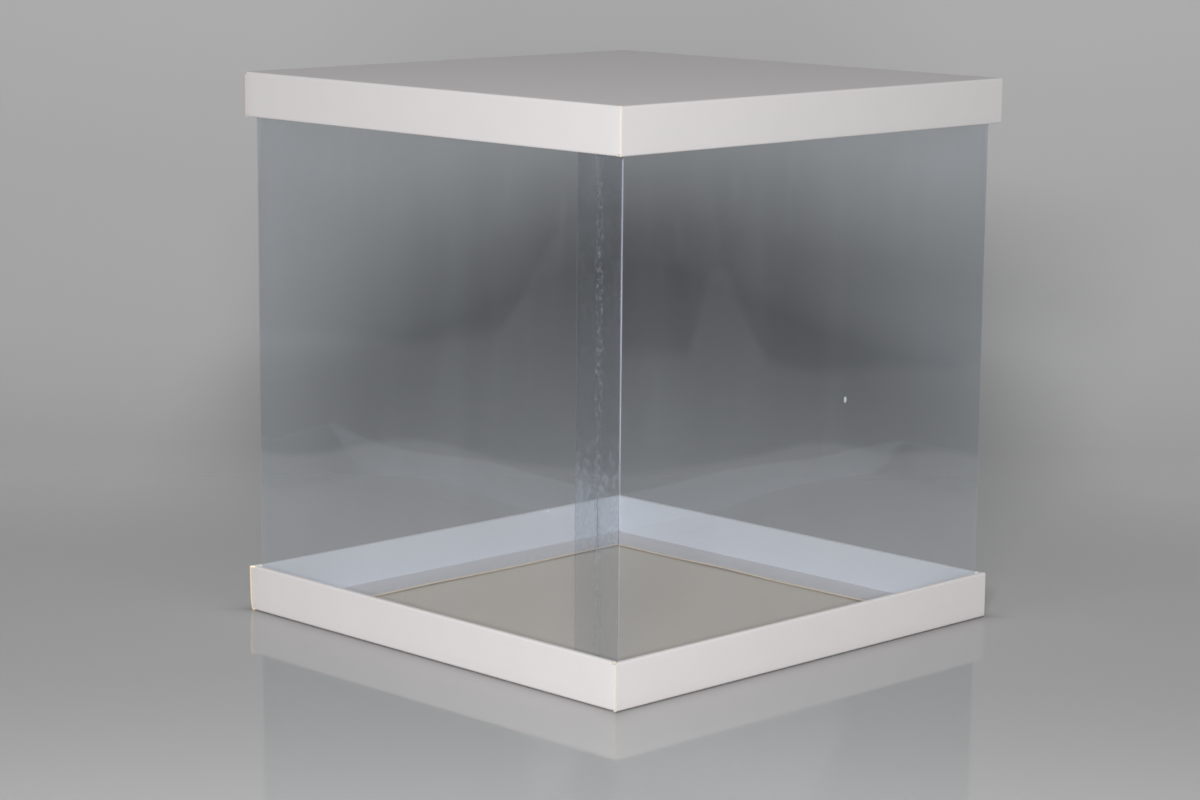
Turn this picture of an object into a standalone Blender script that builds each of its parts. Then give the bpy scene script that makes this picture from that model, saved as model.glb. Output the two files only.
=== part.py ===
# Square clear box: a white board base tray, a sleeve of clear film and a white board lid.
# Each tray is one folded sheet with rolled-over double walls. The sleeve is one creased
# sheet whose two ends overlap in a glued seam at the front corner.
# Units are metres. The origin is at the middle of the underside, with +Z up.
import math

import bmesh
import bpy
from mathutils import Matrix, Vector

# Overall sizes
BOX_HEIGHT = 0.270      # table to the top of the lid
SLEEVE_SIDE = 0.2535    # the square sleeve, outside to outside
BASE_WALL = 0.0225      # height of the base's walls
LID_WALL = 0.022        # height of the lid's walls

# Sheets
BOARD = 0.0009          # white board of the trays
FILM = 0.00035          # clear film of the sleeve

# Trays
BASE_PLAY = 0.0004      # sleeve to the base's inner wall, on each side
LID_PLAY = 0.0011       # sleeve to the lid's inner wall, on each side
LAYER_GAP = 0.0002      # between the layers of board in a wall
SEAT_GAP = 0.0003       # floor to flap, and flap to sleeve edge
FLAP_WIDTH = 0.023      # tuck flap that lies on the floor
MITRE_GAP = 0.0004      # each flap's end to the corner's diagonal
FLAP_RELIEF = 0.0025    # height over which an inner wall narrows to its flap
TAB_LENGTH = 0.030      # corner tab inside the next wall
TAB_TAPER = 0.004       # slant at the free end of a corner tab
TAB_RELIEF = 0.0004     # corner tab to the folds above and below it
NICK = 0.001            # strip of floor left at each end of a wall's fold
FLOOR_FOLD = 0.0005     # inner radius where a wall leaves the floor, and at a flap
RIM_FOLD = 0.0003       # inner radius at the rim and at a corner tab

# Sleeve seam
SEAM_WIDTH = 0.028      # the end of the sheet that lies inside the front panel
SEAM_GAP = 0.0003       # room for the adhesive between the two ends
FILM_FOLD = 0.00025     # inner radius of the sleeve's creases
GLUE_WIDTH = 0.005
GLUE_INSET = 0.0135     # middle of the adhesive to the corner
GLUE_END = 0.014        # bare length of seam above and below the adhesive
GLUE_THICKNESS = 0.0001
GLUE_RAGGED = 0.0008    # how far the adhesive's edges wander
GLUE_WAVES = ((9, 0.6), (23, 0.4))      # full waves along an edge, and each one's share

FOLD_STEPS = 4          # facets of each quarter-turn fold
GLUE_STEPS = 60

WALL = 3 * BOARD + 2 * LAYER_GAP
FLAP_TOP = 2 * BOARD + SEAT_GAP
SEAT = FLAP_TOP + SEAT_GAP
UP = Vector((0, 0, 1))
EAST = Vector((1, 0, 0))
NORTH = Vector((0, 1, 0))
QUARTER = math.pi / 2
SHARP = math.radians(40)
TINY = 1e-7             # places closer than this are the same


def clear_scene():
    for obj in list(bpy.data.objects):
        bpy.data.objects.remove(obj, do_unlink=True)


def finish_material(name, colour, roughness, alpha=1.0):
    material = bpy.data.materials.new(name)
    material.use_nodes = True
    shader = material.node_tree.nodes["Principled BSDF"]
    shader.inputs["Base Color"].default_value = (*colour, 1.0)
    shader.inputs["Roughness"].default_value = roughness
    shader.inputs["Metallic"].default_value = 0.0
    shader.inputs["Alpha"].default_value = alpha
    return material


def add_object(name, bm, material, collection, parent=None):
    mesh = bpy.data.meshes.new(name)
    bm.to_mesh(mesh)
    bm.free()
    mesh.materials.append(material)
    obj = bpy.data.objects.new(name, mesh)
    collection.objects.link(obj)
    obj.parent = parent
    return obj


def give_thickness(obj, thickness):
    sheet = obj.modifiers.new("sheet", "SOLIDIFY")
    sheet.thickness = thickness
    sheet.offset = -1.0
    sheet.use_even_offset = True


def shade_folds(obj):
    obj.data.shade_smooth()
    obj.data.set_sharp_from_angle(angle=SHARP)


def only_edges(geometry):
    return [item for item in geometry if isinstance(item, bmesh.types.BMEdge)]


def points_of(edges):
    return list({point for edge in edges for point in edge.verts})


def edges_where(bm, test):
    return [edge for edge in bm.edges if all(test(point.co) for point in edge.verts)]


def panel(bm, edges, move, widen=1.0):
    # Draws the sheet on from these edges, and scales the far end about its own middle.
    drawn = bmesh.ops.extrude_edge_only(bm, edges=edges)["geom"]
    ends = only_edges(drawn)
    points = points_of(ends)
    bmesh.ops.translate(bm, vec=move, verts=points)
    if widen != 1.0:
        along = (ends[0].verts[1].co - ends[0].verts[0].co).normalized()
        reach = [point.co.dot(along) for point in points]
        middle = (min(reach) + max(reach)) / 2
        for point, place in zip(points, reach):
            point.co += along * (place - middle) * (widen - 1.0)
    return ends


def fold(bm, edges, centre, axis, angle=QUARTER):
    # Carries the sheet round a crease as an arc.
    turned = bmesh.ops.spin(
        bm,
        geom=points_of(edges) + edges,
        cent=centre,
        axis=axis,
        angle=angle,
        steps=FOLD_STEPS,
        use_duplicate=False,
    )
    return only_edges(turned["geom_last"])


def roll_over(bm, edges, out, half, height, rim_half, inner_half):
    # From the top of an outer layer: rim, inner layer, and the flap that lies on the floor.
    radius = BOARD + RIM_FOLD
    axis = out.cross(UP)
    edges = fold(bm, edges, out * (half - radius) + UP * (height - radius), axis)
    edges = panel(bm, edges, -out * (WALL - 2 * radius), inner_half / rim_half)
    edges = fold(bm, edges, out * (half - WALL + radius) + UP * (height - radius), axis)
    foot = FLAP_TOP + FLOOR_FOLD
    edges = panel(bm, edges, -UP * (height - radius - foot - FLAP_RELIEF))
    flap_half = half - WALL - FLOOR_FOLD - MITRE_GAP
    edges = panel(bm, edges, -UP * FLAP_RELIEF, flap_half / inner_half)
    centre = out * (half - WALL - FLOOR_FOLD) + UP * foot
    edges = fold(bm, edges, centre, axis, -QUARTER)
    reach = FLAP_WIDTH - FLOOR_FOLD
    panel(bm, edges, -out * reach, (flap_half - reach) / flap_half)


def corner_tab(bm, edges, out, along, half, length, height):
    # Folds the end of an outer layer into the hollow of the neighbouring wall.
    radius = BOARD + RIM_FOLD
    centre = along * length + out * (half - radius)
    edges = fold(bm, edges, centre, along.cross(-out))
    tip = 1.0 - 2 * TAB_TAPER / height
    panel(bm, edges, -out * (TAB_LENGTH - radius), tip)


def long_wall(bm, out, half, height):
    # A wall that runs the full side, with its cut ends in view.
    radius = BOARD + FLOOR_FOLD
    line = half - radius
    edges = edges_where(bm, lambda place: abs(place.dot(out) - line) < TINY)
    edges = fold(bm, edges, out * line + UP * radius, out.cross(UP))
    rim = height - BOARD - RIM_FOLD
    edges = panel(bm, edges, UP * (rim - radius))
    inner_half = half - BOARD - LAYER_GAP
    roll_over(bm, edges, out, half, height, half, inner_half)


def short_wall(bm, out, half, height):
    # A wall between the two long ones, whose ends turn into their hollows.
    along = UP.cross(out)
    radius = BOARD + FLOOR_FOLD
    foot_half = half - radius - NICK - LAYER_GAP
    start = half - radius - LAYER_GAP

    def on_foot(place):
        return abs(place.dot(out) - start) < TINY and abs(place.dot(along)) < foot_half + TINY

    edges = panel(bm, edges_where(bm, on_foot), out * LAYER_GAP)
    edges = fold(bm, edges, out * (half - radius) + UP * radius, out.cross(UP))

    rim = height - BOARD - RIM_FOLD
    tab_foot = radius + TAB_RELIEF
    tab_height = rim - TAB_RELIEF - tab_foot
    tab_crease = half - 2 * BOARD - LAYER_GAP - RIM_FOLD
    rim_half = half - WALL - LAYER_GAP
    edges = panel(bm, edges, UP * TAB_RELIEF, tab_crease / foot_half)
    edges = panel(bm, edges, UP * tab_height)
    ends = {}
    for side in (-1, 1):
        reach = along * side

        def on_end(place):
            level = tab_foot - TINY < place.z < tab_foot + tab_height + TINY
            return level and abs(place.dot(reach) - tab_crease) < TINY and place.dot(out) > 0

        ends[side] = edges_where(bm, on_end)
    edges = panel(bm, edges, UP * TAB_RELIEF, rim_half / tab_crease)
    for side, end in ends.items():
        corner_tab(bm, end, out, along * side, half, tab_crease, tab_height)
    roll_over(bm, edges, out, half, height, rim_half, rim_half)


def folded_tray(name, play, height, material, collection, parent=None):
    # The outside of the sheet is drawn first, open side up, and the board lies behind it.
    half = SLEEVE_SIDE / 2 + play + WALL
    radius = BOARD + FLOOR_FOLD
    flat = half - radius
    row = flat - LAYER_GAP
    foot_half = flat - NICK - LAYER_GAP
    bm = bmesh.new()
    bmesh.ops.create_grid(bm, x_segments=1, y_segments=1, size=1.0)
    bmesh.ops.scale(bm, vec=(flat, row, 1.0), verts=bm.verts)
    for line in (-foot_half - LAYER_GAP, -foot_half, foot_half, foot_half + LAYER_GAP):
        bmesh.ops.bisect_plane(
            bm,
            geom=bm.verts[:] + bm.edges[:] + bm.faces[:],
            plane_co=(line, 0, 0),
            plane_no=(1, 0, 0),
        )
    for side in (-1, 1):
        def at_corner(place):
            return abs(place.y - side * row) < TINY and abs(place.x) > foot_half + LAYER_GAP / 2

        corners = [
            edge for edge in edges_where(bm, at_corner)
            if abs(edge.verts[0].co.x - edge.verts[1].co.x) < 2 * NICK
        ]
        panel(bm, corners, NORTH * side * (half - row))
    for out in (EAST, -EAST):
        long_wall(bm, out, half, height)
    for out in (NORTH, -NORTH):
        short_wall(bm, out, half, height)
    bmesh.ops.recalc_face_normals(bm, faces=bm.faces)
    floor_face = min(bm.faces, key=lambda face: face.calc_center_median().length)
    if floor_face.normal.z > 0:
        bmesh.ops.reverse_faces(bm, faces=bm.faces)
    tray = add_object(name, bm, material, collection, parent)
    shade_folds(tray)
    give_thickness(tray, BOARD)
    return tray


def clear_sleeve(material, collection, parent):
    # One sheet, from its end inside the front corner round to its end over that corner.
    half = SLEEVE_SIDE / 2
    radius = FILM + FILM_FOLD
    inside = half - FILM - SEAM_GAP
    height = BOX_HEIGHT - 2 * SEAT
    bm = bmesh.new()
    foot = bm.verts.new((half - SEAM_WIDTH, -inside, 0))
    top = bm.verts.new((half - SEAM_WIDTH, -inside, height))
    edges = [bm.edges.new((foot, top))]
    runs = (
        (EAST, SEAM_WIDTH - radius, (half - radius, radius - inside)),
        (NORTH, half + inside - 2 * radius, (half - radius, half - radius)),
        (-EAST, 2 * (half - radius), (radius - half, half - radius)),
        (-NORTH, 2 * (half - radius), (radius - half, radius - half)),
    )
    for heading, length, centre in runs:
        edges = panel(bm, edges, heading * length)
        edges = fold(bm, edges, Vector((*centre, 0)), UP)
    panel(bm, edges, EAST * (2 * half - radius))
    bmesh.ops.recalc_face_normals(bm, faces=bm.faces)
    for face in bm.faces:
        if face.calc_center_median().x > half - radius / 2 and face.normal.x < 0:
            bmesh.ops.reverse_faces(bm, faces=bm.faces)
            break
    sleeve = add_object("clear_sleeve", bm, material, collection, parent)
    sleeve.location = (0, 0, SEAT)
    shade_folds(sleeve)
    give_thickness(sleeve, FILM)
    return sleeve


def seam_glue(material, collection, parent):
    # A flat bead of adhesive between the two ends of the sleeve's sheet.
    height = BOX_HEIGHT - 2 * SEAT
    length = height - 2 * GLUE_END
    bm = bmesh.new()
    bmesh.ops.create_grid(bm, x_segments=1, y_segments=GLUE_STEPS, size=0.5)
    bmesh.ops.scale(bm, vec=(GLUE_WIDTH, length, 1.0), verts=bm.verts)
    for point in bm.verts:
        turn = point.co.y / length * 2 * math.pi
        side = 1 if point.co.x > 0 else -1
        for order, (waves, share) in enumerate(GLUE_WAVES, 1):
            point.co.x += GLUE_RAGGED * share * math.sin(waves * turn + order * side)
    upright = Matrix.Rotation(QUARTER, 4, "X")
    bmesh.ops.transform(bm, matrix=upright, verts=bm.verts)
    glue = add_object("seam_glue", bm, material, collection, parent)
    middle = SLEEVE_SIDE / 2 - FILM - SEAM_GAP / 2
    glue.location = (SLEEVE_SIDE / 2 - GLUE_INSET, -middle, height / 2)
    give_thickness(glue, GLUE_THICKNESS)
    glue.modifiers["sheet"].offset = 0.0
    return glue


def build():
    clear_scene()
    collection = bpy.data.collections.new("clear_box")
    bpy.context.scene.collection.children.link(collection)
    base_board = finish_material("base_board", (0.70, 0.68, 0.67), 0.6)
    lid_board = finish_material("lid_board", (0.70, 0.68, 0.67), 0.6)
    clear_film = finish_material("clear_film", (0.80, 0.83, 0.86), 0.08, 0.25)
    adhesive = finish_material("adhesive", (0.75, 0.77, 0.80), 0.35, 0.6)
    base = folded_tray("base_tray", BASE_PLAY, BASE_WALL, base_board, collection)
    sleeve = clear_sleeve(clear_film, collection, base)
    seam_glue(adhesive, collection, sleeve)
    lid = folded_tray("lid_tray", LID_PLAY, LID_WALL, lid_board, collection, sleeve)
    lid.location = (0, 0, BOX_HEIGHT - SEAT)
    lid.rotation_euler = (math.pi, 0, 0)


build()
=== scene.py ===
import math

import bmesh
import bpy
from mathutils import Matrix, Quaternion, Vector, noise


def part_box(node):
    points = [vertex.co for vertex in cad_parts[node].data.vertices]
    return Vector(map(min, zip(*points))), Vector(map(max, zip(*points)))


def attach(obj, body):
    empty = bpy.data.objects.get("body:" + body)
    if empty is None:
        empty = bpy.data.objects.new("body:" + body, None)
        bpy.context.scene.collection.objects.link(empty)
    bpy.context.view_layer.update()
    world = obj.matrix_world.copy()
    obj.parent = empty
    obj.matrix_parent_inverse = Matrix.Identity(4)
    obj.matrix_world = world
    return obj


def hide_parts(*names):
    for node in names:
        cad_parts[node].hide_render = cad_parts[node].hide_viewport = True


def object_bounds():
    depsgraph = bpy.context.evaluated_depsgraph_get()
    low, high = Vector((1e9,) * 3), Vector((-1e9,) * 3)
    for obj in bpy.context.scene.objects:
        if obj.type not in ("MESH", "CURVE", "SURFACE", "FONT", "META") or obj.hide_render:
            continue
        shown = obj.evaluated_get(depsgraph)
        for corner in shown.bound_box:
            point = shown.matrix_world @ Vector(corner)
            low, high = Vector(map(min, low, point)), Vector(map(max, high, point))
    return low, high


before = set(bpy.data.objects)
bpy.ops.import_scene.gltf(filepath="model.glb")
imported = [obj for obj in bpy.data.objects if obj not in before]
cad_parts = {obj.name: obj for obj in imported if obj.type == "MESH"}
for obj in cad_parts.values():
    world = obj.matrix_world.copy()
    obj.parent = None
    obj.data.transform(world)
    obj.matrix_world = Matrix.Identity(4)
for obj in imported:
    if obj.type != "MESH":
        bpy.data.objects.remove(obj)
cadLow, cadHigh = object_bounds()
baseLow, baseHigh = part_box("base_tray")
lidLow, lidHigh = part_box("lid_tray")
filmLow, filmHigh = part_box("clear_sleeve")
beadLow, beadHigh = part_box("seam_glue")
print("frame loaded:", ", ".join(sorted(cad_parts)))

up = Vector((0, 0, 1))
east = Vector((1, 0, 0))
north = Vector((0, 1, 0))
quarter = math.pi / 2
tiny = 1e-7


# Small helpers for meshes

def onlyEdges(geometry):
    return [item for item in geometry if isinstance(item, bmesh.types.BMEdge)]


def pointsOf(edges):
    return list({point for edge in edges for point in edge.verts})


def edgesWhere(bm, test):
    return [edge for edge in bm.edges if all(test(point.co) for point in edge.verts)]


def ramp(value, start, end):
    # 0 before start, 1 after end, smooth in between. start may be the larger one.
    share = min(1.0, max(0.0, (value - start) / (end - start)))
    return share * share * (3 - 2 * share)


def drawPanel(bm, edges, move, widen=1.0, rows=1):
    # Draws the sheet on from these edges. Its far end is scaled about its own middle.
    done = 1.0
    for row in range(1, rows + 1):
        edges = onlyEdges(bmesh.ops.extrude_edge_only(bm, edges=edges)["geom"])
        points = pointsOf(edges)
        bmesh.ops.translate(bm, vec=move / rows, verts=points)
        wanted = 1.0 + (widen - 1.0) * row / rows
        along = (edges[0].verts[1].co - edges[0].verts[0].co).normalized()
        reach = [point.co.dot(along) for point in points]
        middle = (min(reach) + max(reach)) / 2
        for point, place in zip(points, reach):
            point.co += along * (place - middle) * (wanted / done - 1.0)
        done = wanted
    return edges


def drawFold(bm, edges, centre, axis, angle=quarter, steps=6):
    # Carries the sheet round a crease as an arc.
    turned = bmesh.ops.spin(
        bm,
        geom=pointsOf(edges) + edges,
        cent=centre,
        axis=axis,
        angle=angle,
        steps=steps,
        use_duplicate=False,
    )
    return onlyEdges(turned["geom_last"])


def makePiece(name, bm, materials):
    mesh = bpy.data.meshes.new(name)
    bm.to_mesh(mesh)
    bm.free()
    for material in materials:
        mesh.materials.append(material)
    piece = bpy.data.objects.new(name, mesh)
    bpy.context.scene.collection.objects.link(piece)
    return piece


def shadeSmooth(mesh, degrees=35):
    mesh.shade_smooth()
    mesh.set_sharp_from_angle(angle=math.radians(degrees))


def thickenSheet(piece, thickness, backSlot, edgeSlot, offset=-1.0):
    # The drawn side keeps its place. The reverse side and the cut edge get materials that come
    # backSlot and edgeSlot places later in the list.
    sheet = piece.modifiers.new("sheet", "SOLIDIFY")
    sheet.thickness = thickness
    sheet.offset = offset
    sheet.use_even_offset = True
    sheet.material_offset = backSlot
    sheet.material_offset_rim = edgeSlot
    graph = bpy.context.evaluated_depsgraph_get()
    solid = bpy.data.meshes.new_from_object(piece.evaluated_get(graph))
    piece.modifiers.clear()
    piece.data = solid
    shadeSmooth(solid)


# Small helpers for materials

def addNode(tree, kind, values=None, **settings):
    node = tree.nodes.new(kind)
    for name, value in settings.items():
        setattr(node, name, value)
    for name, value in (values or {}).items():
        socket = node.inputs[name]
        if isinstance(value, bpy.types.NodeSocket):
            tree.links.new(value, socket)
        else:
            socket.default_value = value
    return node


def addMath(tree, operation, first, second=None, third=None, clamp=False):
    node = addNode(tree, "ShaderNodeMath", operation=operation, use_clamp=clamp)
    for socket, value in zip(node.inputs, (first, second, third)):
        if isinstance(value, bpy.types.NodeSocket):
            tree.links.new(value, socket)
        elif value is not None:
            socket.default_value = value
    return node.outputs[0]


def addRange(tree, value, lowIn, highIn, lowOut=0.0, highOut=1.0, smooth=True):
    values = {
        "Value": value,
        "From Min": lowIn,
        "From Max": highIn,
        "To Min": lowOut,
        "To Max": highOut,
    }
    curve = "SMOOTHSTEP" if smooth else "LINEAR"
    node = addNode(tree, "ShaderNodeMapRange", values, interpolation_type=curve)
    return node.outputs["Result"]


def addNoise(tree, place, scale, detail=2.0, roughness=0.5, stretch=None):
    if stretch:
        place = addNode(tree, "ShaderNodeMapping", {"Vector": place, "Scale": stretch}).outputs[0]
    values = {"Vector": place, "Scale": scale, "Detail": detail, "Roughness": roughness}
    return addNode(tree, "ShaderNodeTexNoise", values).outputs["Fac"]


def addPattern(tree, place, pattern):
    # Noise of a scale, detail and roughness, spread over a range of values.
    drawn = addNoise(tree, place, *pattern["noise"], stretch=pattern.get("stretch"))
    return addRange(tree, drawn, *pattern["range"])


def addSwing(tree, value):
    # Noise about 0 in place of 0.5.
    return addMath(tree, "SUBTRACT", value, 0.5)


def addMix(tree, share, first, second):
    node = addNode(tree, "ShaderNodeMix", data_type="RGBA")
    for name, value in (("Factor", share), ("A", first), ("B", second)):
        socket = next(s for s in node.inputs if s.name == name and s.enabled)
        if isinstance(value, bpy.types.NodeSocket):
            tree.links.new(value, socket)
        else:
            socket.default_value = value
    return next(s for s in node.outputs if s.enabled)


def objectPlace(tree):
    return addNode(tree, "ShaderNodeTexCoord").outputs["Object"]


def newMaterial(name):
    material = bpy.data.materials.new(name)
    material.use_nodes = True
    tree = material.node_tree
    tree.nodes.clear()
    return material, tree


def mixShaders(tree, share, first, second):
    return addNode(tree, "ShaderNodeMixShader", {0: share, 1: first, 2: second}).outputs[0]


def setSurface(tree, shader):
    end = addNode(tree, "ShaderNodeOutputMaterial")
    tree.links.new(shader, end.inputs["Surface"])


def newGroup(name, inputs, outputs):
    # inputs are (name, kind, value) and outputs (name, kind).
    group = bpy.data.node_groups.new(name, "ShaderNodeTree")
    for label, kind, value in inputs:
        socket = group.interface.new_socket(label, in_out="INPUT", socket_type=kind)
        socket.default_value = value
    for label, kind in outputs:
        group.interface.new_socket(label, in_out="OUTPUT", socket_type=kind)
    taken = group.nodes.new("NodeGroupInput")
    given = group.nodes.new("NodeGroupOutput")
    return group, taken.outputs, given.inputs


# Scale and detail of the patterns in coated board
paperPatterns = {
    "cloud": (60.0, 3.0),
    "tooth": (1100.0, 2.0),
    "fleck": (420.0, 1.0),
    "fleckHeight": 0.5,      # as a share of the tooth's
}


def makePaperGrain():
    # Mottled tone and fine tooth.
    values = paperPatterns
    group, taken, given = newGroup(
        "paperGrain",
        [
            ("Colour", "NodeSocketColor", (0.7, 0.7, 0.7, 1.0)),
            ("Mottle", "NodeSocketFloat", 0.05),
            ("Grain", "NodeSocketFloat", 0.05),
        ],
        [("Colour", "NodeSocketColor"), ("Height", "NodeSocketFloat")],
    )
    place = objectPlace(group)
    cloud = addNoise(group, place, *values["cloud"])
    tooth = addNoise(group, place, *values["tooth"])
    fleck = addNoise(group, place, *values["fleck"])
    cloudTone = addMath(group, "MULTIPLY", addSwing(group, cloud), taken["Mottle"])
    toothTone = addMath(group, "MULTIPLY", addSwing(group, tooth), taken["Grain"])
    tone = addMath(group, "ADD", addMath(group, "ADD", cloudTone, toothTone), 1.0)
    toned = addNode(group, "ShaderNodeVectorMath", {"Vector": taken["Colour"]}, operation="SCALE")
    group.links.new(tone, toned.inputs["Scale"])
    group.links.new(toned.outputs["Vector"], given["Colour"])
    height = addMath(group, "MULTIPLY_ADD", fleck, values["fleckHeight"], tooth)
    group.links.new(height, given["Height"])
    return group


leastSpeck = 0.3             # a spot's least size, as a share of Size


def makeSpecks():
    # Scattered dust: a share of a pattern's cells, each with a spot in it.
    group, taken, given = newGroup(
        "dustSpecks",
        [
            ("Spacing", "NodeSocketFloat", 120.0),
            ("Size", "NodeSocketFloat", 0.12),
            ("Share", "NodeSocketFloat", 0.2),
        ],
        [("Mask", "NodeSocketFloat")],
    )
    place = objectPlace(group)
    cells = addNode(
        group,
        "ShaderNodeTexVoronoi",
        {"Vector": place, "Scale": taken["Spacing"], "Randomness": 1.0},
        feature="F1",
    )
    chosen = addNode(group, "ShaderNodeSeparateColor", {"Color": cells.outputs["Color"]})
    kept = addMath(group, "LESS_THAN", chosen.outputs[0], taken["Share"])
    share = addMath(group, "ADD", chosen.outputs[1], leastSpeck)
    width = addMath(group, "MULTIPLY", taken["Size"], share)
    near = addMath(group, "LESS_THAN", cells.outputs["Distance"], width)
    mask = addMath(group, "MULTIPLY", kept, near)
    group.links.new(mask, given["Mask"])
    return group


paperGrain = makePaperGrain()
dustSpecks = makeSpecks()


def useGroup(tree, group, values):
    return addNode(tree, "ShaderNodeGroup", values, node_tree=group).outputs


boardFinish = {
    # One white board all through. The lid, inner layer and flap colours are lighter and darker
    # copies of it, as painted light and shade: the lid darker than the base, the inner layer
    # lighter, the flaps and their cut edges darker.
    "baseWhite": (0.75, 0.718, 0.72, 1.0),
    "lidWhiteShaded": (0.67, 0.645, 0.648, 1.0),
    "inside": (0.90, 0.885, 0.895, 1.0),       # the walls' inner layer
    "flap": (0.67, 0.64, 0.645, 1.0),
    "reverse": (0.665, 0.597, 0.51, 1.0),
    "cut": (0.73, 0.68, 0.59, 1.0),
    # Painted light and shade on the cut edges at the left corners: the base's lighter, the lid's
    # darker.
    "baseLeftCutLit": (0.98, 0.83, 0.64, 1.0),    # towards the left side
    "lidLeftCutShaded": (0.47, 0.42, 0.38, 1.0),
    "paintedCutFrom": (-0.12, -0.06),
    "flapCutShaded": (0.64, 0.54, 0.43, 1.0),
    "toothDepth": 0.00003,
    "toothStrength": 0.5,
}

# Roughness, mottle and grain
boardTextures = {
    "face": (0.5, 0.04, 0.05),
    "flap": (0.5, 0.06, 0.05),
    "reverse": (0.75, 0.08, 0.10),
    "cut": (0.85, 0.10, 0.16),
}


def makeBoard(name, colourName, texture, paintedLeftName=None):
    values = boardFinish
    roughness, mottle, grain = boardTextures[texture]
    material, tree = newMaterial(name)
    colour = values[colourName]
    # Towards the left the cut edge blends into its painted copy: painted light on the base,
    # painted shade on the lid.
    if paintedLeftName:
        side = addNode(tree, "ShaderNodeSeparateXYZ", {"Vector": objectPlace(tree)}).outputs["X"]
        share = addRange(tree, side, *values["paintedCutFrom"])
        colour = addMix(tree, share, values[paintedLeftName], colour)
    paper = useGroup(tree, paperGrain, {"Colour": colour, "Mottle": mottle, "Grain": grain})
    bump = addNode(
        tree,
        "ShaderNodeBump",
        {
            "Strength": values["toothStrength"],
            "Distance": values["toothDepth"],
            "Height": paper["Height"],
        },
    )
    shader = addNode(
        tree,
        "ShaderNodeBsdfPrincipled",
        {"Base Color": paper["Colour"], "Roughness": roughness, "Normal": bump.outputs["Normal"]},
    )
    setSurface(tree, shader.outputs[0])
    return material


# Painted light and shade: the lid, the inner layer and the flaps get lighter and darker copies of
# the one white board.
baseBoard = makeBoard("base_white_board", "baseWhite", "face")
lidBoard = makeBoard("lid_board_painted_shade", "lidWhiteShaded", "face")
innerBoard = makeBoard("inner_board_painted_light", "inside", "face")
flapBoard = makeBoard("flap_board_painted_shade", "flap", "flap")
boardReverse = makeBoard("board_reverse", "reverse", "reverse")
baseCut = makeBoard("base_cut_board", "cut", "cut", "baseLeftCutLit")
lidCut = makeBoard("lid_cut_board", "cut", "cut", "lidLeftCutShaded")
flapCutShaded = makeBoard("flap_cut_painted_shade", "flapCutShaded", "cut")

filmFinish = {
    "index": 1.58,
    "tint": (0.959, 0.971, 0.984, 1.0),     # what each of the two faces lets through
    "roughness": 0.03,
}

clearHaze = {
    "amount": 0.008,
    "colour": (0.74, 0.78, 0.84, 1.0),
    "streaks": {
        "noise": (30.0, 4.0),
        "stretch": (1.0, 1.0, 0.15),
        "range": (0.35, 0.75, 0.5, 2.0),
    },
    "scuffs": {
        "noise": (95.0, 3.0),
        "stretch": (1.0, 1.0, 0.3),
        "range": (0.52, 0.68, 0.0, 1.3),
    },
    "scuffHeights": (0.17, 0.225),
    "lint": {"Spacing": 26.0, "Size": 0.016, "Share": 0.22},
    "lintCover": 0.30,
    "fleckPlace": (0.1267, 0.0236, 0.1229),
    "fleckSize": (0.01, 0.0010, 0.0019),
    "fleckEdge": (0.5, 1.0, 0.75, 0.0),     # from which to which share of its size its cover ends
}

creaseHaze = {
    "amount": 0.30,
    "colour": (0.58, 0.58, 0.70, 1.0),
    "heights": (0.08, 0.14, 0.3, 1.0),      # from which to which height, and its shares there
}

lapHaze = {
    "tint": (0.926, 0.935, 0.943, 1.0),
    "colour": (0.47, 0.51, 0.57, 1.0),
    "bubbles": {
        "noise": (480.0, 3.0, 0.6),
        "stretch": (1.0, 1.0, 0.55),
        "range": (0.46, 0.64, 0.04, 0.26),
    },
    "runs": {
        "noise": (150.0, 2.0),
        "stretch": (1.0, 1.0, 0.10),
        "range": (0.42, 0.68, 0.0, 0.12),
    },
    "heights": ((0.13, 0.090, 0.12, 1.0), (0.066, 0.078, 0.1, 1.0)),    # where it starts and ends
}

filmCut = {
    "tint": (0.8, 0.82, 0.88, 1.0),
    "frost": (0.36, 0.37, 0.42, 1.0),
    "cover": 0.35,
    "roughness": 0.5,
}


def addClearHaze(tree, place, level):
    # Faint streaks all over, scuffs near the top, a few specks of lint and one larger fleck.
    values = clearHaze
    haze = addPattern(tree, place, values["streaks"])
    scuffs = addPattern(tree, place, values["scuffs"])
    high = addRange(tree, level, *values["scuffHeights"])
    haze = addMath(tree, "MULTIPLY_ADD", scuffs, high, haze)
    haze = addMath(tree, "MULTIPLY", haze, values["amount"])
    lint = useGroup(tree, dustSpecks, values["lint"])["Mask"]
    haze = addMath(tree, "MULTIPLY_ADD", lint, values["lintCover"], haze)
    kind = "ShaderNodeVectorMath"
    offset = addNode(tree, kind, {0: place, 1: values["fleckPlace"]}, operation="SUBTRACT")
    share = addNode(tree, kind, {0: offset.outputs[0], 1: values["fleckSize"]}, operation="DIVIDE")
    away = addNode(tree, kind, {0: share.outputs[0]}, operation="LENGTH").outputs["Value"]
    return addMath(tree, "ADD", haze, addRange(tree, away, *values["fleckEdge"]))


def addCreaseHaze(tree, place, level):
    height = addRange(tree, level, *creaseHaze["heights"])
    return addMath(tree, "MULTIPLY", height, creaseHaze["amount"])


def addLapHaze(tree, place, level):
    # Bubbles in the glued lap, thick low down, and runs above them.
    values = lapHaze
    bubbles = addPattern(tree, place, values["bubbles"])
    runs = addPattern(tree, place, values["runs"])
    haze = addMath(tree, "ADD", bubbles, runs)
    for heights in values["heights"]:
        haze = addMath(tree, "MULTIPLY", haze, addRange(tree, level, *heights))
    return haze


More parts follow.
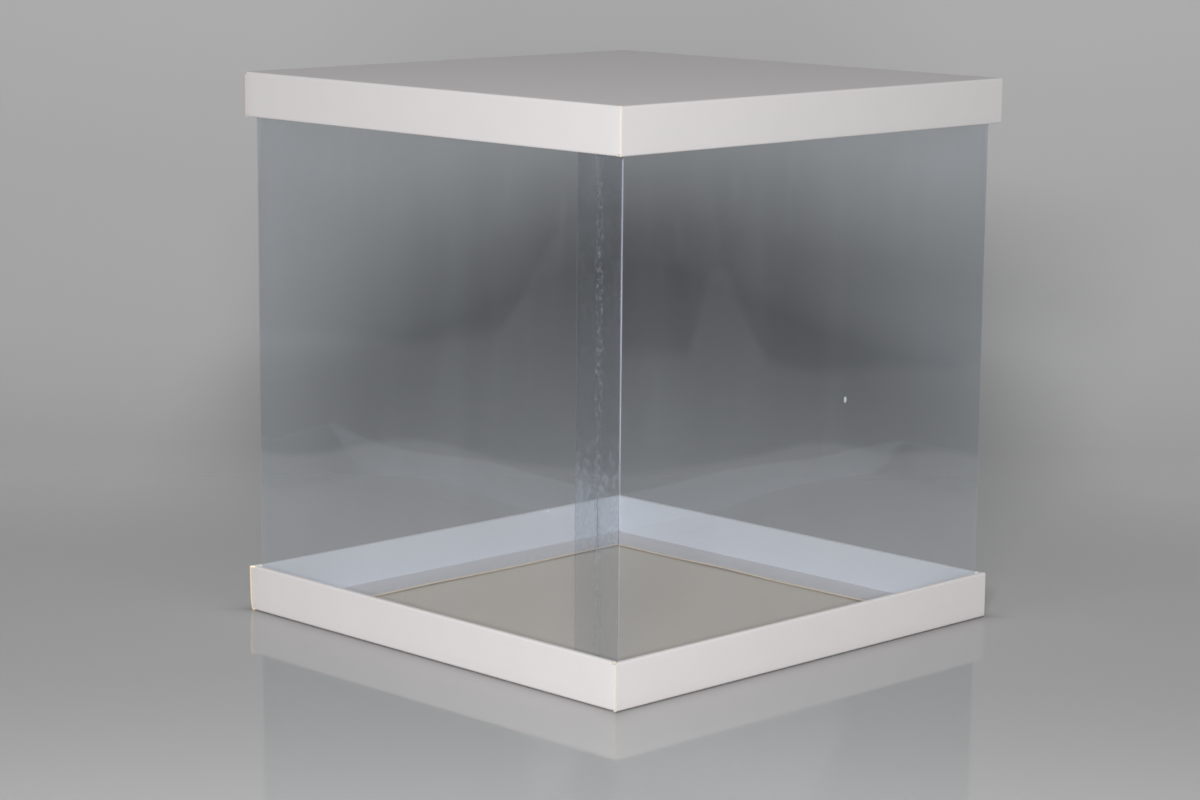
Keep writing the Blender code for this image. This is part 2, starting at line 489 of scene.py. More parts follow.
def makeFilm(name, addHaze, hazeColour, tint):
    values = filmFinish
    material, tree = newMaterial(name)
    place = objectPlace(tree)
    level = addNode(tree, "ShaderNodeSeparateXYZ", {"Vector": place}).outputs["Z"]
    back = addNode(tree, "ShaderNodeNewGeometry").outputs["Backfacing"]
    index = addRange(tree, back, 0.0, 1.0, values["index"], 1 / values["index"], smooth=False)
    gloss = addNode(tree, "ShaderNodeFresnel", {"IOR": index}).outputs[0]
    clear = addNode(tree, "ShaderNodeBsdfTransparent", {"Color": tint})
    shine = addNode(tree, "ShaderNodeBsdfGlossy", {"Roughness": values["roughness"]})
    dust = addNode(tree, "ShaderNodeBsdfDiffuse", {"Color": hazeColour})
    haze = addHaze(tree, place, level)
    body = mixShaders(tree, haze, clear.outputs[0], dust.outputs[0])
    setSurface(tree, mixShaders(tree, gloss, body, shine.outputs[0]))
    return material


def makeFilmEdge():
    values = filmCut
    material, tree = newMaterial("film_cut_edge")
    clear = addNode(tree, "ShaderNodeBsdfTransparent", {"Color": values["tint"]})
    frost = addNode(
        tree,
        "ShaderNodeBsdfPrincipled",
        {"Base Color": values["frost"], "Roughness": values["roughness"]},
    )
    setSurface(tree, mixShaders(tree, values["cover"], clear.outputs[0], frost.outputs[0]))
    return material


beadFinish = {
    "clear": (0.97, 0.97, 0.975, 1.0),
    "frost": (0.50, 0.53, 0.58, 1.0),
    "darkLine": (0.16, 0.17, 0.20, 1.0),
    "darkLineWidth": (0.00016, 0.00034),
    "darkLineSway": 0.0042,
    "darkLineWave": (170.0, 3.0, 0.65),
    "darkLineSeed": (0.3, 0.7),
    "darkLineHeights": ((0.062, 0.074), (0.098, 0.094)),   # where it fades in and out
    "darkLineCover": 0.8,
    "bubbles": {"noise": (420.0, 4.0, 0.7), "range": (0.45, 0.75, 0.01, 0.24)},
    "roughness": 0.5,
}


def addDarkLine(tree, place):
    # A kinked dark line down the dried bead.
    values = beadFinish
    spot = addNode(tree, "ShaderNodeSeparateXYZ", {"Vector": place}).outputs
    x, y = values["darkLineSeed"]
    line = addNode(tree, "ShaderNodeCombineXYZ", {"X": x, "Y": y, "Z": spot["Z"]}).outputs[0]
    sway = addSwing(tree, addNoise(tree, line, *values["darkLineWave"]))
    middle = addMath(tree, "MULTIPLY_ADD", sway, values["darkLineSway"], (beadLow.x + beadHigh.x) / 2)
    away = addMath(tree, "ABSOLUTE", addMath(tree, "SUBTRACT", spot["X"], middle))
    mask = addRange(tree, away, *values["darkLineWidth"], 1.0, 0.0)
    for ends in values["darkLineHeights"]:
        mask = addMath(tree, "MULTIPLY", mask, addRange(tree, spot["Z"], *ends))
    return addMath(tree, "MULTIPLY", mask, values["darkLineCover"])


def makeAdhesive():
    values = beadFinish
    material, tree = newMaterial("seam_adhesive")
    place = objectPlace(tree)
    clear = addNode(tree, "ShaderNodeBsdfTransparent", {"Color": values["clear"]})
    darkLine = addDarkLine(tree, place)
    colour = addMix(tree, darkLine, values["frost"], values["darkLine"])
    frost = addNode(
        tree,
        "ShaderNodeBsdfPrincipled",
        {"Base Color": colour, "Roughness": values["roughness"]},
    )
    cover = addMath(tree, "MAXIMUM", addPattern(tree, place, values["bubbles"]), darkLine)
    setSurface(tree, mixShaders(tree, cover, clear.outputs[0], frost.outputs[0]))
    return material


clearFilm = makeFilm("clear_film", addClearHaze, clearHaze["colour"], filmFinish["tint"])
creasedFilm = makeFilm("creased_film", addCreaseHaze, creaseHaze["colour"], filmFinish["tint"])
lapFilm = makeFilm("glued_lap_film", addLapHaze, lapHaze["colour"], lapHaze["tint"])
filmEdge = makeFilmEdge()
adhesive = makeAdhesive()
print("materials made")


# Both trays: one cut sheet of board, folded up and rolled over on all four sides

boardSizes = {
    "sheet": 0.0009,
    "layerGap": 0.0002,      # between the layers in a wall
    "seatGap": 0.0003,       # floor to flap
    "flapWidth": 0.023,
    "mitreGap": 0.0004,
    "flapRelief": 0.0025,    # height over which an inner wall narrows to its flap
    "tabLength": 0.030,      # corner tab inside the next wall
    "tabTaper": 0.004,
    "tabRelief": 0.00001,    # height over which a short wall narrows above and below its tabs
    "nick": 0.001,           # notch at each end of a short wall's foot
    "floorFold": 0.0001,     # inner radius of the folds at the floor
    "rimFold": 0.00003,      # inner radius of the folds at the rim
    "tabTurn": 0.0002,       # outer radius of the folds at the corners
    "columns": 36,           # stretches along each wall
    "wallRows": 5,
    "shortRows": 4,          # up a short wall's outer layer
    "tabRows": 3,
    "flapRows": 8,
}
boardSizes["wall"] = 3 * boardSizes["sheet"] + 2 * boardSizes["layerGap"]
boardSizes["flapTop"] = 2 * boardSizes["sheet"] + boardSizes["seatGap"]


def rollOver(bm, edges, out, half, height, rimHalf, innerHalf):
    # From the top of an outer layer: rim, inner layer, and the flap that lies on the floor.
    size = boardSizes
    radius = size["sheet"] + size["rimFold"]
    wall = size["wall"]
    axis = out.cross(up)
    edges = drawFold(bm, edges, out * (half - radius) + up * (height - radius), axis)
    edges = drawPanel(bm, edges, -out * (wall - 2 * radius), innerHalf / rimHalf)
    outside = set(bm.faces)
    edges = drawFold(bm, edges, out * (half - wall + radius) + up * (height - radius), axis)
    foot = size["flapTop"] + size["floorFold"]
    drop = height - radius - foot - size["flapRelief"]
    edges = drawPanel(bm, edges, -up * drop, rows=size["wallRows"])
    flapHalf = half - wall - size["floorFold"] - size["mitreGap"]
    edges = drawPanel(bm, edges, -up * size["flapRelief"], flapHalf / innerHalf)
    inside = set(bm.faces) - outside
    centre = out * (half - wall - size["floorFold"]) + up * foot
    edges = drawFold(bm, edges, centre, axis, -quarter)
    reach = size["flapWidth"] - size["floorFold"]
    drawPanel(bm, edges, -out * reach, (flapHalf - reach) / flapHalf, rows=size["flapRows"])
    for face in set(bm.faces) - outside:
        face.material_index = 1 if face in inside else 2


def cornerTab(bm, edges, out, along, half, length, height):
    # Folds the end of an outer layer into the hollow of the neighbouring wall.
    size = boardSizes
    radius = size["tabTurn"]
    centre = along * length + out * (half - radius)
    edges = drawFold(bm, edges, centre, along.cross(-out))
    tip = 1.0 - 2 * size["tabTaper"] / height
    drawPanel(bm, edges, -out * (size["tabLength"] - radius), tip, rows=size["tabRows"])


def longWall(bm, out, half, height):
    # A wall that runs the full side, with its cut ends in view.
    size = boardSizes
    radius = size["sheet"] + size["floorFold"]
    line = half - radius
    edges = edgesWhere(bm, lambda place: abs(place.dot(out) - line) < tiny)
    edges = drawFold(bm, edges, out * line + up * radius, out.cross(up))
    rim = height - size["sheet"] - size["rimFold"]
    edges = drawPanel(bm, edges, up * (rim - radius), rows=size["wallRows"])
    rollOver(bm, edges, out, half, height, half, half - size["sheet"] - size["layerGap"])


def shortWall(bm, out, half, height):
    # A wall between the two long ones, whose ends turn into their hollows.
    size = boardSizes
    along = up.cross(out)
    radius = size["sheet"] + size["floorFold"]
    footHalf = half - radius - size["nick"] - size["layerGap"]
    start = half - radius - size["layerGap"]

    def onFoot(place):
        return abs(place.dot(out) - start) < tiny and abs(place.dot(along)) < footHalf + tiny

    edges = drawPanel(bm, edgesWhere(bm, onFoot), out * size["layerGap"])
    edges = drawFold(bm, edges, out * (half - radius) + up * radius, out.cross(up))
    rim = height - size["sheet"] - size["rimFold"]
    tabFoot = radius + size["tabRelief"]
    tabTop = rim - size["tabRelief"]
    crease = half - size["sheet"] - size["layerGap"] - size["tabTurn"]
    rimHalf = half - size["wall"] - size["layerGap"]
    edges = drawPanel(bm, edges, up * size["tabRelief"], crease / footHalf)
    edges = drawPanel(bm, edges, up * (tabTop - tabFoot), rows=size["shortRows"])
    ends = {}
    for side in (-1, 1):
        reach = along * side

        def onEnd(place):
            level = tabFoot - tiny < place.z < tabTop + tiny
            return level and abs(place.dot(reach) - crease) < tiny and place.dot(out) > 0

        ends[side] = edgesWhere(bm, onEnd)
    edges = drawPanel(bm, edges, up * size["tabRelief"], rimHalf / crease)
    for side, end in ends.items():
        cornerTab(bm, end, out, along * side, half, crease, tabTop - tabFoot)
    rollOver(bm, edges, out, half, height, rimHalf, rimHalf)


def foldedTray(half, height):
    # The outside of the sheet, open side up, with the floor's underside at 0.
    size = boardSizes
    flat = half - size["sheet"] - size["floorFold"]
    row = flat - size["layerGap"]
    footHalf = flat - size["nick"] - size["layerGap"]
    cornerFrom = footHalf + size["layerGap"] / 2
    bm = bmesh.new()
    bmesh.ops.create_grid(bm, x_segments=size["columns"], y_segments=size["columns"], size=1.0)
    bmesh.ops.scale(bm, vec=(flat, row, 1.0), verts=bm.verts)
    for line in (footHalf, footHalf + size["layerGap"]):
        for side in (-1, 1):
            bmesh.ops.bisect_plane(
                bm,
                geom=bm.verts[:] + bm.edges[:] + bm.faces[:],
                plane_co=(side * line, 0, 0),
                plane_no=(1, 0, 0),
            )
    for side in (-1, 1):
        def atCorner(place):
            return abs(place.y - side * row) < tiny and abs(place.x) > cornerFrom

        for end in (-1, 1):
            corner = edgesWhere(bm, lambda place: atCorner(place) and place.x * end > 0)
            drawPanel(bm, corner, north * side * (half - row))
    for out in (east, -east):
        longWall(bm, out, half, height)
    for out in (north, -north):
        shortWall(bm, out, half, height)
    bmesh.ops.recalc_face_normals(bm, faces=bm.faces)
    middle = min(bm.faces, key=lambda face: face.calc_center_median().length)
    if middle.normal.z > 0:
        bmesh.ops.reverse_faces(bm, faces=bm.faces)
    return bm


def boardSlots(outer, cut):
    # Drawn side, its reverse and its cut edge, each for the outside, the inner layer and the flap.
    drawn = (outer, innerBoard, flapBoard)
    return (*drawn, boardReverse, boardReverse, boardReverse, cut, cut, flapCutShaded)


flapSpring = {
    "lift": 0.0004,          # free edges of the flaps above where they would lie flat
    "wave": 0.0006,
    "waveScale": 18.0,
    "curl": 1.5,             # power with which a flap rises from its crease
}

# The near left corner stands a little open.
baseTray = {
    "seed": 3.0,
    "cornerFlare": 0.0006,
    "flareReach": 0.030,
    "flareFrom": (-0.85, -0.97),    # as shares of half the width
    "cornerProud": 0.0006,   # how far its cut end stands out
    "proudFrom": 0.004,      # height at which it does so in full
}

lidTray = {
    "seed": 8.0,
}


def liftFlaps(bm, half, seed):
    # Each flap springs up a little from its crease, more in some places than in others.
    values = flapSpring
    crease = half - boardSizes["wall"] - boardSizes["floorFold"]
    reach = boardSizes["flapWidth"] - boardSizes["floorFold"]
    for point in bm.verts:
        outer = max(abs(point.co.x), abs(point.co.y))
        onFlap = abs(point.co.z - boardSizes["flapTop"]) < boardSizes["seatGap"] / 2
        if not onFlap or outer > crease + tiny or outer < crease - reach - tiny:
            continue
        share = max(0.0, (crease - outer) / reach)
        turn = noise.noise(Vector((point.co.x, point.co.y, seed)) * values["waveScale"])
        point.co.z += share ** values["curl"] * max(0.0, values["lift"] + values["wave"] * turn)


def openCorner(bm, half):
    values = baseTray
    start, end = values["flareFrom"]
    for point in bm.verts:
        if point.co.y < -half + tiny and point.co.x < -half + boardSizes["sheet"]:
            outer = ramp(-point.co.x, half - boardSizes["sheet"], half)
            level = ramp(point.co.z, 0.0, values["proudFrom"])
            point.co.y -= values["cornerProud"] * outer * level
        near = math.exp(-(point.co.y + half) / values["flareReach"])
        high = max(0.0, point.co.z / baseHigh.z)
        side = ramp(point.co.x, start * half, end * half)
        point.co.x -= values["cornerFlare"] * near * high * side


def makeBase():
    half = baseHigh.x
    bm = foldedTray(half, baseHigh.z - baseLow.z)
    liftFlaps(bm, half, baseTray["seed"])
    openCorner(bm, half)
    tray = makePiece("base_tray_board", bm, boardSlots(baseBoard, baseCut))
    thickenSheet(tray, boardSizes["sheet"], backSlot=3, edgeSlot=6)
    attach(tray, "base")
    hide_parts("base_tray")
    return tray


def makeLid():
    half = lidHigh.x
    bm = foldedTray(half, lidHigh.z - lidLow.z)
    liftFlaps(bm, half, lidTray["seed"])
    over = Matrix.Translation((0, 0, lidHigh.z)) @ Matrix.Rotation(math.pi, 4, "X")
    bmesh.ops.transform(bm, matrix=over, verts=bm.verts)
    tray = makePiece("lid_tray_board", bm, boardSlots(lidBoard, lidCut))
    thickenSheet(tray, boardSizes["sheet"], backSlot=3, edgeSlot=6)
    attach(tray, "lid")
    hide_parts("lid_tray")
    return tray


# The sleeve: one sheet of film with four creases and a glued lap at the front corner

sleeveSheet = {
    "film": 0.00035,
    "seamWidth": 0.028,
    "seamGap": 0.0003,
    "crease": 0.00025,       # inner radius
    "columns": 44,
    "lapColumns": 8,
    "rows": 60,
    "foldSteps": 8,
}

# How each panel bows and leans. "corner" gives the side of the panel and the lean there, and
# "leans" are for one, two, three... half waves across, all in radians. They turn the film about
# a line, given by its height at the middle of the panel and its slope and arch across it.
filmWarp = {
    "front": {
        "bow": 0.0006,
        "corner": (1, -0.017),
        "leans": (0.0084, 0.0008, -0.0040, -0.0039, 0.0007, -0.0004),
        "line": (0.089, 0.0105, 0.0126),
    },
    "right": {
        "bow": 0.0005,
        "corner": (-1, -0.017),
        "leans": (0.0100, -0.0026, -0.0010, 0.0, 0.0029, -0.0015),
        "line": (0.092, -0.0073, 0.0099),
    },
    "back": {
        "bow": -0.0006,
        "corner": (1, 0.0),
        "leans": (-0.006, 0.008, 0.006),
        "line": (0.10, 0.0, 0.0),
    },
    "left": {
        "bow": -0.0005,
        "corner": (1, 0.0),
        "leans": (-0.006, 0.008, -0.006),
        "line": (0.10, 0.0, 0.0),
    },
    "spread": 0.032,         # how far up and down a lean reaches
    "held": 0.026,           # heights over which the trays hold the film straight
    "free": 0.065,
    "close": 0.0008,         # how near a point lies to the panels that carry it
}


def warpAmount(panel, share, height):
    values = filmWarp[panel]
    middle, slope, arch = values["line"]
    offset = height - middle - slope * share - arch * (1 - share * share)
    side, corner = values["corner"]
    lean = corner * ramp(side * share, 0.0, 1.0)
    for count, amount in enumerate(values["leans"]):
        lean += amount * math.sin((count + 1) * math.pi * (share + 1) / 2)
    bow = values["bow"] * math.sin(math.pi * (share + 1) / 2)
    fade = ramp(height, filmWarp["held"], filmWarp["free"])
    fade *= ramp(cadHigh.z - height, filmWarp["held"], filmWarp["free"])
    return fade * (bow + lean * offset * math.exp(-(offset / filmWarp["spread"]) ** 2))


def warpFilm(bm):
    half = filmHigh.x
    panels = (
        ("front", -north, east),
        ("right", east, north),
        ("back", north, -east),
        ("left", -east, -north),
    )
    for point in bm.verts:
        move = Vector()
        for name, out, along in panels:
            if half - point.co.dot(out) < filmWarp["close"]:
                share = max(-1.0, min(1.0, point.co.dot(along) / half))
                move += out * warpAmount(name, share, point.co.z)
        point.co += move


def makeSleeve():
    size = sleeveSheet
    half = filmHigh.x
    radius = size["film"] + size["crease"]
    inside = half - size["film"] - size["seamGap"]
    bm = bmesh.new()
    foot = bm.verts.new((half - size["seamWidth"], -inside, filmLow.z))
    top = bm.verts.new((half - size["seamWidth"], -inside, filmHigh.z))
    edges = [bm.edges.new((foot, top))]
    bmesh.ops.subdivide_edges(bm, edges=edges, cuts=size["rows"] - 1)
    edges = bm.edges[:]
    runs = (
        (east, size["seamWidth"] - radius, (half - radius, radius - inside), size["lapColumns"]),
        (north, half + inside - 2 * radius, (half - radius, half - radius), size["columns"]),
        (-east, 2 * (half - radius), (radius - half, half - radius), size["columns"]),
        (-north, 2 * (half - radius), (radius - half, radius - half), size["columns"]),
    )
    lap = set()
    creased = set()
    for heading, length, centre, columns in runs:
        edges = drawPanel(bm, edges, heading * length, rows=columns)
        flat = set(bm.faces)
        lap = lap or flat
        edges = drawFold(bm, edges, Vector((*centre, 0)), up, steps=size["foldSteps"])
        creased |= set(bm.faces) - flat
    drawPanel(bm, edges, east * (2 * half - radius), rows=size["columns"])
    for face in bm.faces:
        face.material_index = 2 if face in lap else int(face in creased)
    bmesh.ops.recalc_face_normals(bm, faces=bm.faces)
    outer = max(bm.faces, key=lambda face: face.calc_center_median().x)
    if outer.normal.x < 0:
        bmesh.ops.reverse_faces(bm, faces=bm.faces)
    warpFilm(bm)
    slots = (clearFilm, creasedFilm, lapFilm, filmEdge, filmEdge, filmEdge)
    sleeve = makePiece("sleeve_film", bm, slots)
    thickenSheet(sleeve, size["film"], backSlot=0, edgeSlot=3)
    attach(sleeve, "sleeve")
    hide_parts("clear_sleeve")
    return sleeve


seamBead = {
    "columns": 4,
    "rows": 200,
    "wander": 0.0011,
    "waves": ((5.0, 130.0, 1.0), (3.0, 25.0, 6.0)),   # a fine and a slow one: side, scale and seed
    "thickness": 0.0001,
}


def makeBead():
    values = seamBead
    low, high = beadLow, beadHigh
    bm = bmesh.new()
    bmesh.ops.create_grid(bm, x_segments=values["columns"], y_segments=values["rows"], size=0.5)
    size = Vector((high.x - low.x - 2 * values["wander"], high.z - low.z, 1.0))
    bmesh.ops.scale(bm, vec=size, verts=bm.verts)
    for point in bm.verts:
        side = math.copysign(1.0, point.co.x)
        sway = 0.0
        for apart, scale, seed in values["waves"]:
            sway += noise.noise(Vector((side * apart, point.co.y * scale, seed)))
        share = 2 * abs(point.co.x) / size.x
        point.co.x += values["wander"] * share * max(-1.0, min(1.0, sway))
    upright = Matrix.Rotation(quarter, 4, "X")
    middle = (low + high) / 2
    bmesh.ops.transform(bm, matrix=Matrix.Translation(middle) @ upright, verts=bm.verts)
    warpFilm(bm)
    bead = makePiece("seam_bead", bm, (adhesive,))
    thickenSheet(bead, values["thickness"], backSlot=0, edgeSlot=0, offset=0.0)
    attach(bead, "sleeve")
    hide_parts("seam_glue")
    return bead


makeBase()
print("base tray folded")
makeLid()
print("lid folded")
makeSleeve()
makeBead()
print("sleeve creased and glued")


# Camera, floor, sweep and light

cameraPlace = {
    "location": Vector((1.0916, -1.0902, 0.3828)),
    "aim": Vector((-0.0069, -0.0070, 0.1086)),
    "roll": math.radians(0.469),
    "lens": 94.57,
    "sensor": 36.0,
}
viewLine = (cameraPlace["aim"] - cameraPlace["location"]) * Vector((1, 1, 0))
viewLine.normalize()
acrossLine = viewLine.cross(up)


def makeCamera():
    values = cameraPlace
    lens = bpy.data.cameras.new("camera")
    lens.sensor_width = values["sensor"]
    lens.lens = values["lens"]
    camera = bpy.data.objects.new("camera", lens)
    camera.location = values["location"]
    turn = (values["aim"] - values["location"]).to_track_quat("-Z", "Y")
    turn = turn @ Quaternion((0, 0, 1), values["roll"])
    camera.rotation_euler = turn.to_euler()
    bpy.context.scene.collection.objects.link(camera)
    bpy.context.scene.camera = camera


# The floor's and sweep's tones are painted light and shade: darker round and behind the box,
# lighter in front and at the top, lighter to the right high up and darker to both sides low down.
stageValues = {
    "colour": 0.66,
    "gloss": (0.1, 0.6, 0.06, 0.5),     # behind which places, and its roughness there
    "index": 1.72,
    "shadeUnderBox": 0.68,        # the table's tone round the box, as a share of its colour
    "farClear": (0.10, 0.45),
    "nearClear": (-0.10, -0.42),
    "nearLight": 1.26,
    "rightLight": 0.07,       # brighter to the right high up, per metre
    "edgeShade": -0.22,       # darker to both sides low down, per metre
    "lowFrom": (0.35, 0.02),
    "topLight": 1.07,
    "topClear": (0.80, 0.98),
    "curveStart": 0.45,      # behind the middle of the box
    "curveRadius": 0.60,
    "curveSteps": 24,
    "clear": 0.0002,         # the sweep's edge above the floor
    "wallTop": 2.2,
    "halfWidth": 4.0,
    "floorSize": 8.0,
    "floorParts": 8,
}

# The soft shade of the lid on the sweep. Places are across and behind the middle of the box.
lidShade = {
    "middle": 0.010,
    "depth": 0.675,
    "fade": (0.12, 0.305),           # distances from the middle over which it ends
    "widening": (-0.024, 0.024),     # how much farther it reaches, high up and low down
    "wideFrom": (0.78, 0.56),
    "crest": (0.742, 0.618),         # its darkest line, at the middle and where it levels out
    "crestReach": 0.235,
    "riseShape": 1.1,
    "rise": (0.088, 0.155),          # how far it reaches up, at the same two places
    "fall": 0.70,
}

# Painted reflection: tones the floor shows to glossy rays only, for what the film mirrors: the
# bright table, a dimmer floor past its end, and the dark room.
paintedReflection = {
    "tableHalf": 0.59,
    "table": 1.62,
    "floor": 0.75,
    "room": 0.03,
    "even": 0.30,                    # what the far panels mirror
    "evenPast": (2.5, 3.5),          # faces of film passed
    "floorEnds": (1.07, 0.98),       # to the left and to the right
    "leftStrip": (0.87, -0.08, -0.14),      # how much farther the floor shows, behind which places
    "rightStrip": (0.50, -0.082, -0.112),
    "rightStripEnd": (-0.150, -0.118),
    "wander": 0.12,
    "wanderScale": 3.5,
    "tableBlur": 0.015,
    "floorBlur": 0.06,
}


def addDot(tree, place, direction):
    node = addNode(tree, "ShaderNodeVectorMath", {0: place, 1: direction}, operation="DOT_PRODUCT")
    return node.outputs["Value"]


def addLidShade(tree, across, behind):
    values = lidShade
    offset = addMath(tree, "ABSOLUTE", addMath(tree, "SUBTRACT", across, values["middle"]))
    crest = addRange(tree, offset, 0.0, values["crestReach"], *values["crest"])
    lift = addMath(tree, "SUBTRACT", behind, crest)
    rise = addRange(tree, offset, 0.0, values["crestReach"], *values["rise"])
    above = addMath(tree, "DIVIDE", addMath(tree, "MAXIMUM", lift, 0.0), rise)
    above = addMath(tree, "POWER", above, values["riseShape"])
    above = addMath(tree, "EXPONENT", addMath(tree, "MULTIPLY", above, -1.0))
    below = addRange(tree, lift, -values["fall"], 0.0)
    wider = addRange(tree, behind, *values["wideFrom"], *values["widening"])
    inside = addMath(tree, "SUBTRACT", offset, wider)
    depth = addRange(tree, inside, *values["fade"], values["depth"], 0.0)
    shade = addMath(tree, "MULTIPLY", addMath(tree, "MULTIPLY", above, below), depth)
    return addMath(tree, "SUBTRACT", 1.0, shade)


# The dark line where the box meets the table
contactShade = {
    "depth": 0.60,
    "reach": 0.005,
}


def addContact(tree, place):
    values = contactShade
    spot = addNode(tree, "ShaderNodeSeparateXYZ", {"Vector": place}).outputs
    sides = [addMath(tree, "ABSOLUTE", spot[name]) for name in "XY"]
    outer = addMath(tree, "MAXIMUM", *sides)
    away = addMath(tree, "MAXIMUM", addMath(tree, "SUBTRACT", outer, baseHigh.x), 0.0)
    fall = addMath(tree, "EXPONENT", addMath(tree, "DIVIDE", away, -values["reach"]))
    return addMath(tree, "MULTIPLY_ADD", fall, -values["depth"], 1.0)


def addPaintedReflection(tree, place, across, behind, farther):
    values = paintedReflection
    aside = addMath(tree, "ABSOLUTE", across)
    end = addRange(tree, across, -values["tableHalf"], values["tableHalf"], *values["floorEnds"])
    reach, start, full = values["leftStrip"]
    left = addRange(tree, behind, start, full, 0.0, reach)
    reach, start, full = values["rightStrip"]
    right = addRange(tree, behind, start, full, 0.0, reach)
    right = addMath(tree, "MULTIPLY", right, addRange(tree, behind, *values["rightStripEnd"]))
    toRight = addMath(tree, "GREATER_THAN", across, 0.0)
    strip = addMath(tree, "MULTIPLY_ADD", toRight, addMath(tree, "SUBTRACT", right, left), left)
    wander = addSwing(tree, addNoise(tree, place, values["wanderScale"]))
    end = addMath(tree, "MULTIPLY_ADD", wander, values["wander"], addMath(tree, "ADD", end, strip))
    blur = values["tableBlur"]
    pastTable = addRange(tree, aside, values["tableHalf"] - blur, values["tableHalf"] + blur)
    blur = values["floorBlur"]
    pastFloor = addRange(tree, addMath(tree, "SUBTRACT", aside, end), -blur, blur)
    table = values["table"]
    tone = addMath(tree, "MULTIPLY_ADD", pastTable, values["floor"] - table, table)
    tone = addMath(tree, "MULTIPLY_ADD", pastFloor, values["room"] - values["floor"], tone)
    change = addMath(tree, "SUBTRACT", values["even"], tone)
    return addMath(tree, "MULTIPLY_ADD", farther, change, tone)


def makeStageMaterial(name, isSweep):
    values = stageValues
    material, tree = newMaterial(name)
    place = objectPlace(tree)
    across = addDot(tree, place, acrossLine)
    behind = addDot(tree, place, viewLine)
    # Painted light and shade on the floor and sweep, then the lid's painted shade and, on the
    # floor, the painted contact shade.
    far = addRange(tree, behind, *values["farClear"], values["shadeUnderBox"], 1.0)
    near = addRange(tree, behind, *values["nearClear"], 1.0, values["nearLight"])
    top = addRange(tree, behind, *values["topClear"], 1.0, values["topLight"])
    right = addMath(tree, "MULTIPLY", addMath(tree, "MAXIMUM", across, 0.0), values["rightLight"])
    edge = addMath(tree, "MULTIPLY", addMath(tree, "ABSOLUTE", across), values["edgeShade"])
    low = addRange(tree, behind, *values["lowFrom"])
    side = addMath(tree, "MULTIPLY_ADD", low, addMath(tree, "SUBTRACT", edge, right), right)
    side = addMath(tree, "ADD", side, 1.0)
    tone = addMath(tree, "MULTIPLY", far, near)
    tone = addMath(tree, "MULTIPLY", tone, addMath(tree, "MULTIPLY", top, side))
    tone = addMath(tree, "MULTIPLY", tone, values["colour"])
    seen = addMath(tree, "MULTIPLY", tone, addLidShade(tree, across, behind))
    if not isSweep:
        seen = addMath(tree, "MULTIPLY", seen, addContact(tree, place))
        # Glossy rays see the painted reflection tones in place of the floor's own colour.
        path = addNode(tree, "ShaderNodeLightPath").outputs
        farther = addRange(tree, path["Transparent Depth"], *paintedReflection["evenPast"])
        change = addMath(tree, "SUBTRACT", addPaintedReflection(tree, place, across, behind, farther), seen)
        seen = addMath(tree, "MULTIPLY_ADD", path["Is Glossy Ray"], change, seen)
    colour = addNode(tree, "ShaderNodeCombineColor", {"Red": seen, "Green": seen, "Blue": seen})
    gloss = addRange(tree, behind, *values["gloss"])
    shader = addNode(
        tree,
        "ShaderNodeBsdfPrincipled",
        {"Base Color": colour.outputs[0], "Roughness": gloss, "IOR": values["index"]},
    )
    surface = shader.outputs[0]
    if isSweep:
        back = addNode(tree, "ShaderNodeNewGeometry").outputs["Backfacing"]
        clear = addNode(tree, "ShaderNodeBsdfTransparent")
        surface = mixShaders(tree, back, surface, clear.outputs[0])
    setSurface(tree, surface)
    return material


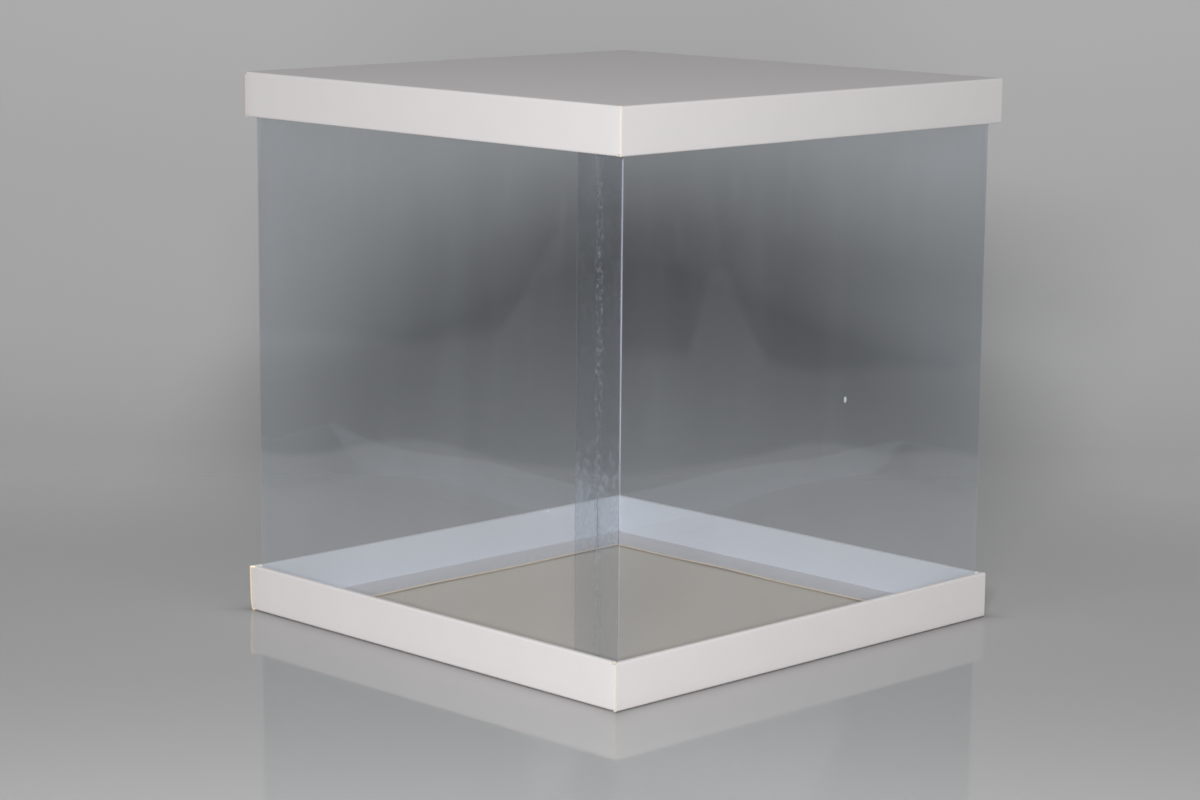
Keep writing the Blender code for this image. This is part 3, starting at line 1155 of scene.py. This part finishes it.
def makeStage():
    values = stageValues
    bm = bmesh.new()
    parts = values["floorParts"]
    bmesh.ops.create_grid(bm, x_segments=parts, y_segments=parts, size=values["floorSize"])
    floor = makePiece("studio_floor", bm, (makeStageMaterial("studio_floor", False),))
    bm = bmesh.new()
    start = viewLine * values["curveStart"] + up * values["clear"]
    ends = [bm.verts.new(start + acrossLine * side * values["halfWidth"]) for side in (-1, 1)]
    edges = [bm.edges.new(ends)]
    centre = start + up * values["curveRadius"]
    edges = drawFold(bm, edges, centre, acrossLine, steps=values["curveSteps"])
    drawPanel(bm, edges, up * (values["wallTop"] - values["curveRadius"]))
    bmesh.ops.recalc_face_normals(bm, faces=bm.faces)
    high = max(bm.faces, key=lambda face: face.calc_center_median().z)
    if high.normal.dot(viewLine) > 0:
        bmesh.ops.reverse_faces(bm, faces=bm.faces)
    sweep = makePiece("studio_sweep", bm, (makeStageMaterial("studio_sweep", True),))
    sweep.data.shade_smooth()


lightValues = {
    "keyDistance": 1.6,
    "keyRise": math.radians(13.7),
    "keyTurn": math.radians(4.0),   # towards camera left
    "keyWidth": 0.34,
    "keyHeight": 0.22,
    "keyPower": 23.0,
    "sky": 0.30,
    "seenSky": 0.40,
    "mirroredSky": 0.08,
}


def makeLights():
    values = lightValues
    target = Vector((0, 0, (lidLow.z + lidHigh.z) / 2))
    heading = Matrix.Rotation(-values["keyTurn"], 3, "Z") @ -viewLine
    rise = math.sin(values["keyRise"])
    reach = math.cos(values["keyRise"])
    key = bpy.data.lights.new("soft_key", "AREA")
    key.shape = "RECTANGLE"
    key.size = values["keyWidth"]
    key.size_y = values["keyHeight"]
    key.energy = values["keyPower"]
    lamp = bpy.data.objects.new("soft_key", key)
    lamp.location = target + (heading * reach + up * rise) * values["keyDistance"]
    lamp.rotation_euler = (target - lamp.location).to_track_quat("-Z", "Y").to_euler()
    lamp.visible_camera = False
    bpy.context.scene.collection.objects.link(lamp)

    world = bpy.data.worlds.new("studio")
    bpy.context.scene.world = world
    world.use_nodes = True
    tree = world.node_tree
    tree.nodes.clear()
    path = addNode(tree, "ShaderNodeLightPath").outputs
    seenMore = values["seenSky"] - values["sky"]
    mirroredMore = values["mirroredSky"] - values["sky"]
    level = addMath(tree, "MULTIPLY_ADD", path["Is Camera Ray"], seenMore, values["sky"])
    level = addMath(tree, "MULTIPLY_ADD", path["Is Glossy Ray"], mirroredMore, level)
    light = addNode(tree, "ShaderNodeBackground", {"Strength": level})
    light.inputs["Color"].default_value = (1.0, 1.0, 1.0, 1.0)
    end = addNode(tree, "ShaderNodeOutputWorld")
    tree.links.new(light.outputs[0], end.inputs["Surface"])


makeCamera()
makeStage()
makeLights()
scene = bpy.context.scene
scene.view_settings.view_transform = "Standard"
scene.cycles.transparent_max_bounces = 32       # the film has many faces in line
print("stage, camera and light set")
